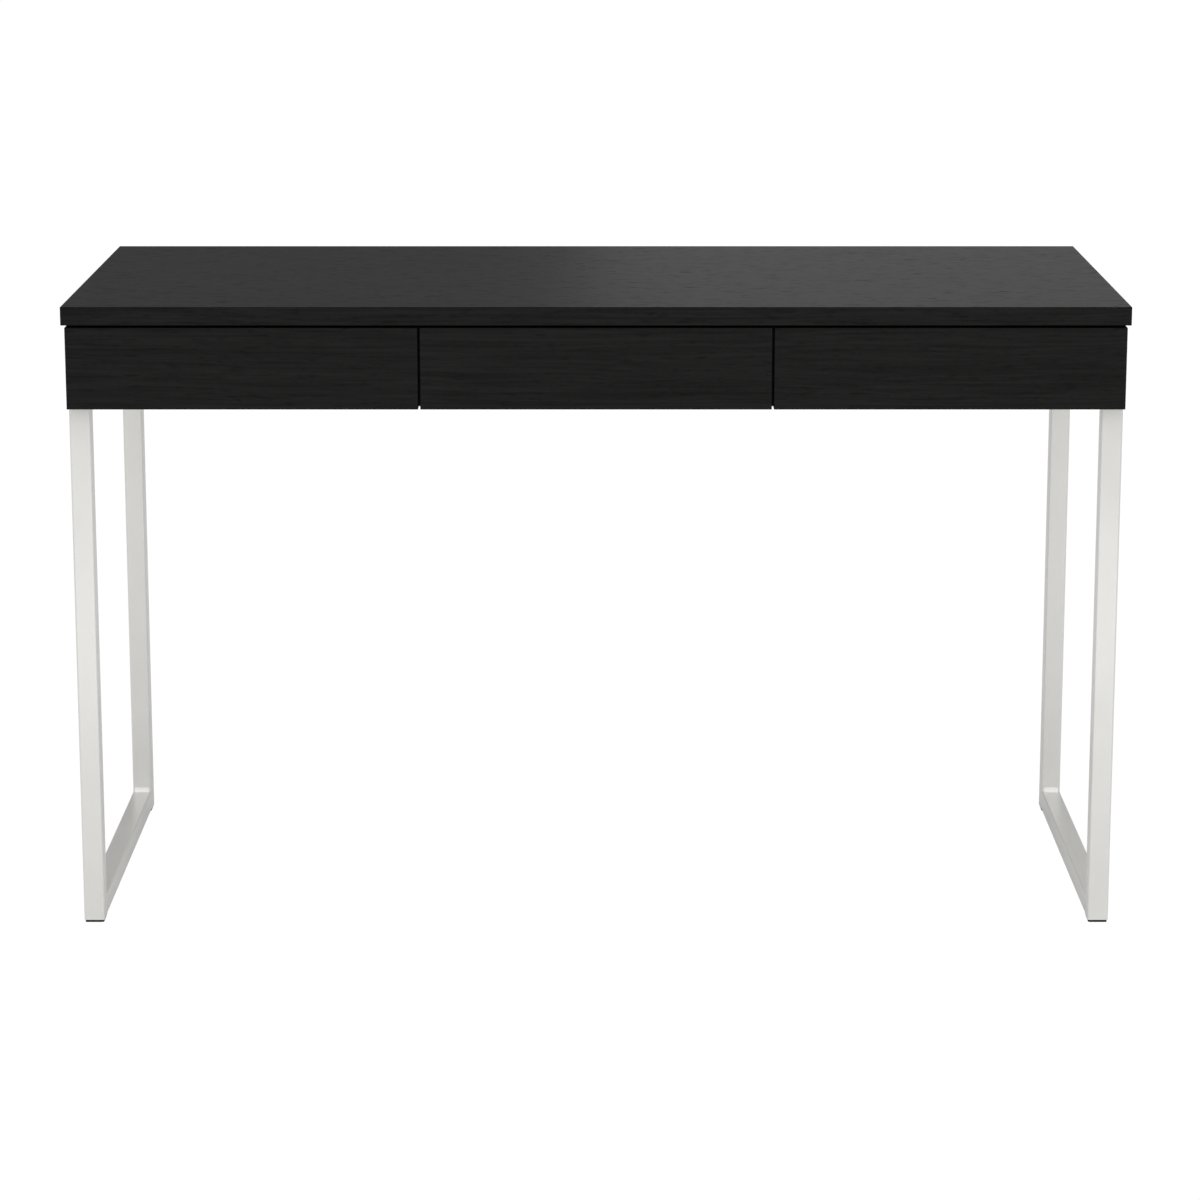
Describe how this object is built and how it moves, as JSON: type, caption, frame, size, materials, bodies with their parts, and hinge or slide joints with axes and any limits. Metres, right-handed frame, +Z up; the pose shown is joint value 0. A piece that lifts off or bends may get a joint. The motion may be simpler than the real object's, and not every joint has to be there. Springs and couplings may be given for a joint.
{
  "type": "writing desk with drawers",
  "caption": "Black woodgrain writing desk with handle-free drawers on roller runners and two silver steel sled leg frames.",
  "frame": {"origin": "on the floor, under the middle of the desktop", "axes": "+X along the desk's width, to the right of a person sitting at it; +Y to the back; +Z up"},
  "size_m": [1.26, 0.52, 0.764],
  "materials": {
    "black_woodgrain_board": "black woodgrain foil, matt with fine grain lines",
    "drawer_board": "smooth dark grey foil",
    "hardboard": "dark lacquered hardboard",
    "silver_paint": "light silver powder coat, satin",
    "white_enamel": "white enamel on rolled steel",
    "zinc_plated_steel": "bright zinc plate",
    "cast_zinc": "dull die casting",
    "black_plastic": "moulded, slightly grained",
    "white_nylon": "smooth moulded nylon",
    "beech": "plain turned wood"
  },
  "bodies": {
    "desk": {"desktop": "black_woodgrain_board", "left_side_panel": "black_woodgrain_board", "right_side_panel": "black_woodgrain_board", "left_partition": "black_woodgrain_board", "right_partition": "black_woodgrain_board", "back_panel": "black_woodgrain_board", "left_front_leg": "silver_paint", "left_rear_leg": "silver_paint", "left_floor_bar": "silver_paint", "left_mounting_strip": "silver_paint", "right_front_leg": "silver_paint", "right_rear_leg": "silver_paint", "right_floor_bar": "silver_paint", "right_mounting_strip": "silver_paint", "frame_welds": "silver_paint", "foot_plugs": "black_plastic", "frame_bolts": "zinc_plated_steel", "insert_nuts": "zinc_plated_steel", "cam_locks": "cast_zinc", "cam_bolts": "zinc_plated_steel", "dowels": "beech", "back_screws": "zinc_plated_steel", "runner_screws": "zinc_plated_steel", "left_bay_left_runner": "white_enamel", "left_bay_right_runner": "white_enamel", "middle_bay_left_runner": "white_enamel", "middle_bay_right_runner": "white_enamel", "right_bay_left_runner": "white_enamel", "right_bay_right_runner": "white_enamel"},
    "left_drawer": {"left_drawer_front": "black_woodgrain_board", "left_drawer_left_side": "drawer_board", "left_drawer_right_side": "drawer_board", "left_drawer_back": "drawer_board", "left_drawer_bottom": "hardboard", "left_drawer_left_runner": "white_enamel", "left_drawer_right_runner": "white_enamel", "left_drawer_fasteners": "zinc_plated_steel"},
    "left_bay_rollers": {"left_bay_rollers": "white_nylon"},
    "left_drawer_rollers": {"left_drawer_rollers": "white_nylon"},
    "middle_drawer": {"middle_drawer_front": "black_woodgrain_board", "middle_drawer_left_side": "drawer_board", "middle_drawer_right_side": "drawer_board", "middle_drawer_back": "drawer_board", "middle_drawer_bottom": "hardboard", "middle_drawer_left_runner": "white_enamel", "middle_drawer_right_runner": "white_enamel", "middle_drawer_fasteners": "zinc_plated_steel"},
    "middle_bay_rollers": {"middle_bay_rollers": "white_nylon"},
    "middle_drawer_rollers": {"middle_drawer_rollers": "white_nylon"},
    "right_drawer": {"right_drawer_front": "black_woodgrain_board", "right_drawer_left_side": "drawer_board", "right_drawer_right_side": "drawer_board", "right_drawer_back": "drawer_board", "right_drawer_bottom": "hardboard", "right_drawer_left_runner": "white_enamel", "right_drawer_right_runner": "white_enamel", "right_drawer_fasteners": "zinc_plated_steel"},
    "right_bay_rollers": {"right_bay_rollers": "white_nylon"},
    "right_drawer_rollers": {"right_drawer_rollers": "white_nylon"}
  },
  "joints": [
    {"name": "left_drawer_slide", "type": "slide", "parent": "desk", "child": "left_drawer", "axis": [0, -1, 0], "range_m": [0, 0.3]},
    {"name": "left_bay_rollers_turn", "type": "hinge", "parent": "desk", "child": "left_bay_rollers", "pos_m": [-0.408, -0.228, 0.6665], "axis": [1, 0, 0], "continuous": true},
    {"name": "left_drawer_rollers_turn", "type": "hinge", "parent": "left_drawer", "child": "left_drawer_rollers", "pos_m": [-0.408, 0.146, 0.6665], "axis": [1, 0, 0], "continuous": true},
    {"name": "middle_drawer_slide", "type": "slide", "parent": "desk", "child": "middle_drawer", "axis": [0, -1, 0], "range_m": [0, 0.3]},
    {"name": "middle_bay_rollers_turn", "type": "hinge", "parent": "desk", "child": "middle_bay_rollers", "pos_m": [0, -0.228, 0.6665], "axis": [1, 0, 0], "continuous": true},
    {"name": "middle_drawer_rollers_turn", "type": "hinge", "parent": "middle_drawer", "child": "middle_drawer_rollers", "pos_m": [0, 0.146, 0.6665], "axis": [1, 0, 0], "continuous": true},
    {"name": "right_drawer_slide", "type": "slide", "parent": "desk", "child": "right_drawer", "axis": [0, -1, 0], "range_m": [0, 0.3]},
    {"name": "right_bay_rollers_turn", "type": "hinge", "parent": "desk", "child": "right_bay_rollers", "pos_m": [0.408, -0.228, 0.6665], "axis": [1, 0, 0], "continuous": true},
    {"name": "right_drawer_rollers_turn", "type": "hinge", "parent": "right_drawer", "child": "right_drawer_rollers", "pos_m": [0.408, 0.146, 0.6665], "axis": [1, 0, 0], "continuous": true}
  ],
  "couplings": [
    {"joint": "left_bay_rollers_turn", "follows": "left_drawer_slide", "rad_per_m": 125},
    {"joint": "left_drawer_rollers_turn", "follows": "left_drawer_slide", "rad_per_m": 125},
    {"joint": "middle_bay_rollers_turn", "follows": "middle_drawer_slide", "rad_per_m": 125},
    {"joint": "middle_drawer_rollers_turn", "follows": "middle_drawer_slide", "rad_per_m": 125},
    {"joint": "right_bay_rollers_turn", "follows": "right_drawer_slide", "rad_per_m": 125},
    {"joint": "right_drawer_rollers_turn", "follows": "right_drawer_slide", "rad_per_m": 125}
  ]
}
